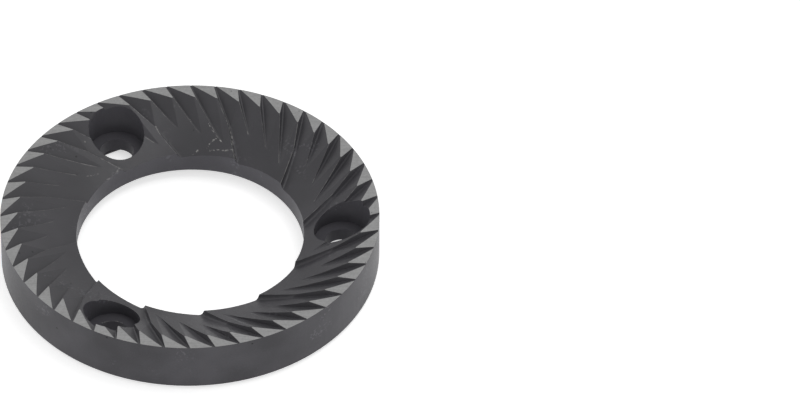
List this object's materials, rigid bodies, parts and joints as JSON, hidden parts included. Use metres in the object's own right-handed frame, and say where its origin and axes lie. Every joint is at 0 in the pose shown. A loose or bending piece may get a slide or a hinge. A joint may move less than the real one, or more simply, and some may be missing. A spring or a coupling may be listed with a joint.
{
  "type": "flat coffee grinder burr",
  "caption": "Flat grinding burr: a hardened steel ring with stepped coarse ramps and slanted fine teeth on its top face, recessed screw holes and a relieved back.",
  "frame": {"origin": "centre of the ring on the plane of its back rim", "axes": "+Z along the ring's axis, from the back towards the teeth; +X towards the first screw hole, to within a degree"},
  "size_m": [0.064, 0.064, 0.0096],
  "materials": {
    "blackened_tool_steel": "blackened matt steel, with the tooth lands and the back rim ground bare"
  },
  "bodies": {
    "root": {"burr": "blackened_tool_steel"}
  },
  "joints": []
}
